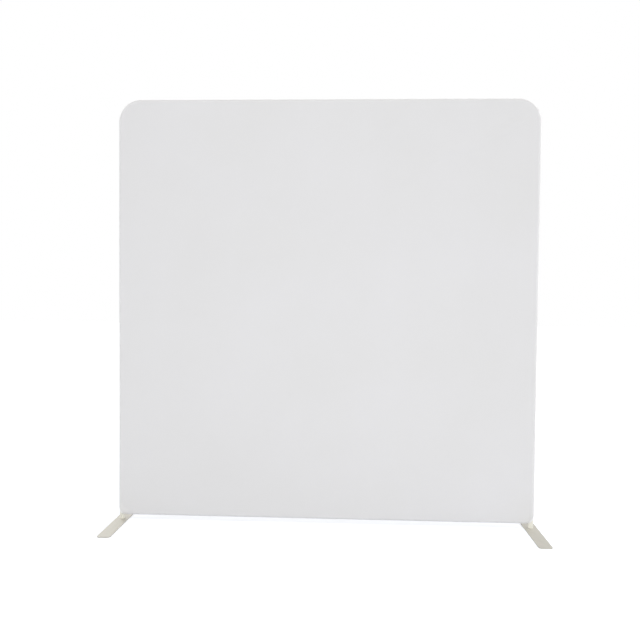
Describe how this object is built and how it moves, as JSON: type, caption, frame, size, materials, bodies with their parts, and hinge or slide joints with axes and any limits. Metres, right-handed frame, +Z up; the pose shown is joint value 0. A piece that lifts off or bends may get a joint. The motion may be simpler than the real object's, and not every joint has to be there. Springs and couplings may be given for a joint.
{
  "type": "backdrop frame",
  "caption": "Free-standing tension fabric backdrop: a round-cornered tube frame in a zipped stretch cover, on two flat foot plates.",
  "frame": {"origin": "on the floor, under the middle of the panel", "axes": "+X along the panel to the right as seen from the front, +Y from the front of the panel to its back, +Z up"},
  "size_m": [2.4812, 0.645, 2.475],
  "materials": {
    "tube_aluminium": "satin",
    "sleeve_aluminium": "satin",
    "rivet_aluminium": "satin",
    "foot_coating": "semi-gloss",
    "post_steel": "satin",
    "spring_steel": "satin",
    "screw_steel": "satin",
    "cover_cloth": "matte knit",
    "zip_tape_cloth": "matte weave",
    "zip_nylon": "satin",
    "zip_zinc": "gloss"
  },
  "bodies": {
    "frame": {"upright_lower_left": "tube_aluminium", "upright_lower_right": "tube_aluminium", "upright_upper_left": "tube_aluminium", "upright_upper_right": "tube_aluminium", "corner_tube_left": "tube_aluminium", "corner_tube_right": "tube_aluminium", "top_tube_left": "tube_aluminium", "top_tube_right": "tube_aluminium", "bottom_tube_left": "tube_aluminium", "bottom_tube_right": "tube_aluminium", "sleeve_upright_left": "sleeve_aluminium", "sleeve_upright_right": "sleeve_aluminium", "sleeve_corner_left": "sleeve_aluminium", "sleeve_corner_right": "sleeve_aluminium", "sleeve_top_left": "sleeve_aluminium", "sleeve_top_right": "sleeve_aluminium", "sleeve_top_middle": "sleeve_aluminium", "sleeve_bottom_middle": "sleeve_aluminium", "sleeve_rivets": "rivet_aluminium", "snap_springs": "spring_steel", "foot_post_left": "post_steel", "foot_post_right": "post_steel", "post_plug_left": "screw_steel", "post_plug_right": "screw_steel", "foot_screws": "screw_steel", "cover_front": "cover_cloth", "cover_back": "cover_cloth", "mouth_hem_left": "cover_cloth", "mouth_hem_right": "cover_cloth", "zip_tape_upper": "zip_tape_cloth", "zip_tape_lower": "zip_tape_cloth", "zip_row_upper": "zip_nylon", "zip_row_lower": "zip_nylon", "zip_stops": "zip_zinc"},
    "foot_left": {"foot_plate_left": "foot_coating"},
    "foot_right": {"foot_plate_right": "foot_coating"},
    "zip_slider": {"zip_slider": "zip_zinc"},
    "zip_pull": {"zip_pull": "zip_zinc"},
    "button_foot_left": {"button_foot_left": "spring_steel"},
    "button_foot_right": {"button_foot_right": "spring_steel"},
    "button_upright_left": {"button_upright_left": "spring_steel"},
    "button_upright_right": {"button_upright_right": "spring_steel"},
    "button_corner_left": {"button_corner_left": "spring_steel"},
    "button_corner_right": {"button_corner_right": "spring_steel"},
    "button_bottom_left": {"button_bottom_left": "spring_steel"},
    "button_bottom_right": {"button_bottom_right": "spring_steel"},
    "button_top_left": {"button_top_left": "spring_steel"},
    "button_top_right": {"button_top_right": "spring_steel"},
    "button_top_middle": {"button_top_middle": "spring_steel"},
    "button_bottom_middle": {"button_bottom_middle": "spring_steel"}
  },
  "joints": [
    {"name": "foot_left_turn", "type": "hinge", "parent": "frame", "child": "foot_left", "pos_m": [-1.2031, 0, 0.0025], "axis": [0, 0, 1], "range_deg": [-90, 90]},
    {"name": "foot_right_turn", "type": "hinge", "parent": "frame", "child": "foot_right", "pos_m": [1.2031, 0, 0.0025], "axis": [0, 0, 1], "range_deg": [-90, 90]},
    {"name": "button_foot_left_press", "type": "slide", "parent": "frame", "child": "button_foot_left", "axis": [-1, 0, 0], "range_m": [0, 0.0046], "stiffness_N_per_m": 1500, "springref_m": -0.004},
    {"name": "button_foot_right_press", "type": "slide", "parent": "frame", "child": "button_foot_right", "axis": [1, 0, 0], "range_m": [0, 0.0046], "stiffness_N_per_m": 1500, "springref_m": -0.004},
    {"name": "button_upright_left_press", "type": "slide", "parent": "frame", "child": "button_upright_left", "axis": [-1, 0, 0], "range_m": [0, 0.0046], "stiffness_N_per_m": 1500, "springref_m": -0.004},
    {"name": "button_upright_right_press", "type": "slide", "parent": "frame", "child": "button_upright_right", "axis": [1, 0, 0], "range_m": [0, 0.0046], "stiffness_N_per_m": 1500, "springref_m": -0.004},
    {"name": "button_corner_left_press", "type": "slide", "parent": "frame", "child": "button_corner_left", "axis": [-1, 0, 0], "range_m": [0, 0.0046], "stiffness_N_per_m": 1500, "springref_m": -0.004},
    {"name": "button_corner_right_press", "type": "slide", "parent": "frame", "child": "button_corner_right", "axis": [1, 0, 0], "range_m": [0, 0.0046], "stiffness_N_per_m": 1500, "springref_m": -0.004},
    {"name": "button_bottom_left_press", "type": "slide", "parent": "frame", "child": "button_bottom_left", "axis": [0, 0, -1], "range_m": [0, 0.0046], "stiffness_N_per_m": 1500, "springref_m": -0.004},
    {"name": "button_bottom_right_press", "type": "slide", "parent": "frame", "child": "button_bottom_right", "axis": [0, 0, -1], "range_m": [0, 0.0046], "stiffness_N_per_m": 1500, "springref_m": -0.004},
    {"name": "button_top_left_press", "type": "slide", "parent": "frame", "child": "button_top_left", "axis": [0, 0, 1], "range_m": [0, 0.0046], "stiffness_N_per_m": 1500, "springref_m": -0.004},
    {"name": "button_top_right_press", "type": "slide", "parent": "frame", "child": "button_top_right", "axis": [0, 0, 1], "range_m": [0, 0.0046], "stiffness_N_per_m": 1500, "springref_m": -0.004},
    {"name": "button_top_middle_press", "type": "slide", "parent": "frame", "child": "button_top_middle", "axis": [0, 0, 1], "range_m": [0, 0.0046], "stiffness_N_per_m": 1500, "springref_m": -0.004},
    {"name": "button_bottom_middle_press", "type": "slide", "parent": "frame", "child": "button_bottom_middle", "axis": [0, 0, -1], "range_m": [0, 0.0046], "stiffness_N_per_m": 1500, "springref_m": -0.004},
    {"name": "zip_slide", "type": "slide", "parent": "frame", "child": "zip_slider", "axis": [-1, 0, 0], "range_m": [0, 2.259]},
    {"name": "zip_pull_swing", "type": "hinge", "parent": "zip_slider", "child": "zip_pull", "pos_m": [1.1297, 0.0212, 0.0749], "axis": [0, 0, -1], "range_deg": [0, 180]}
  ]
}
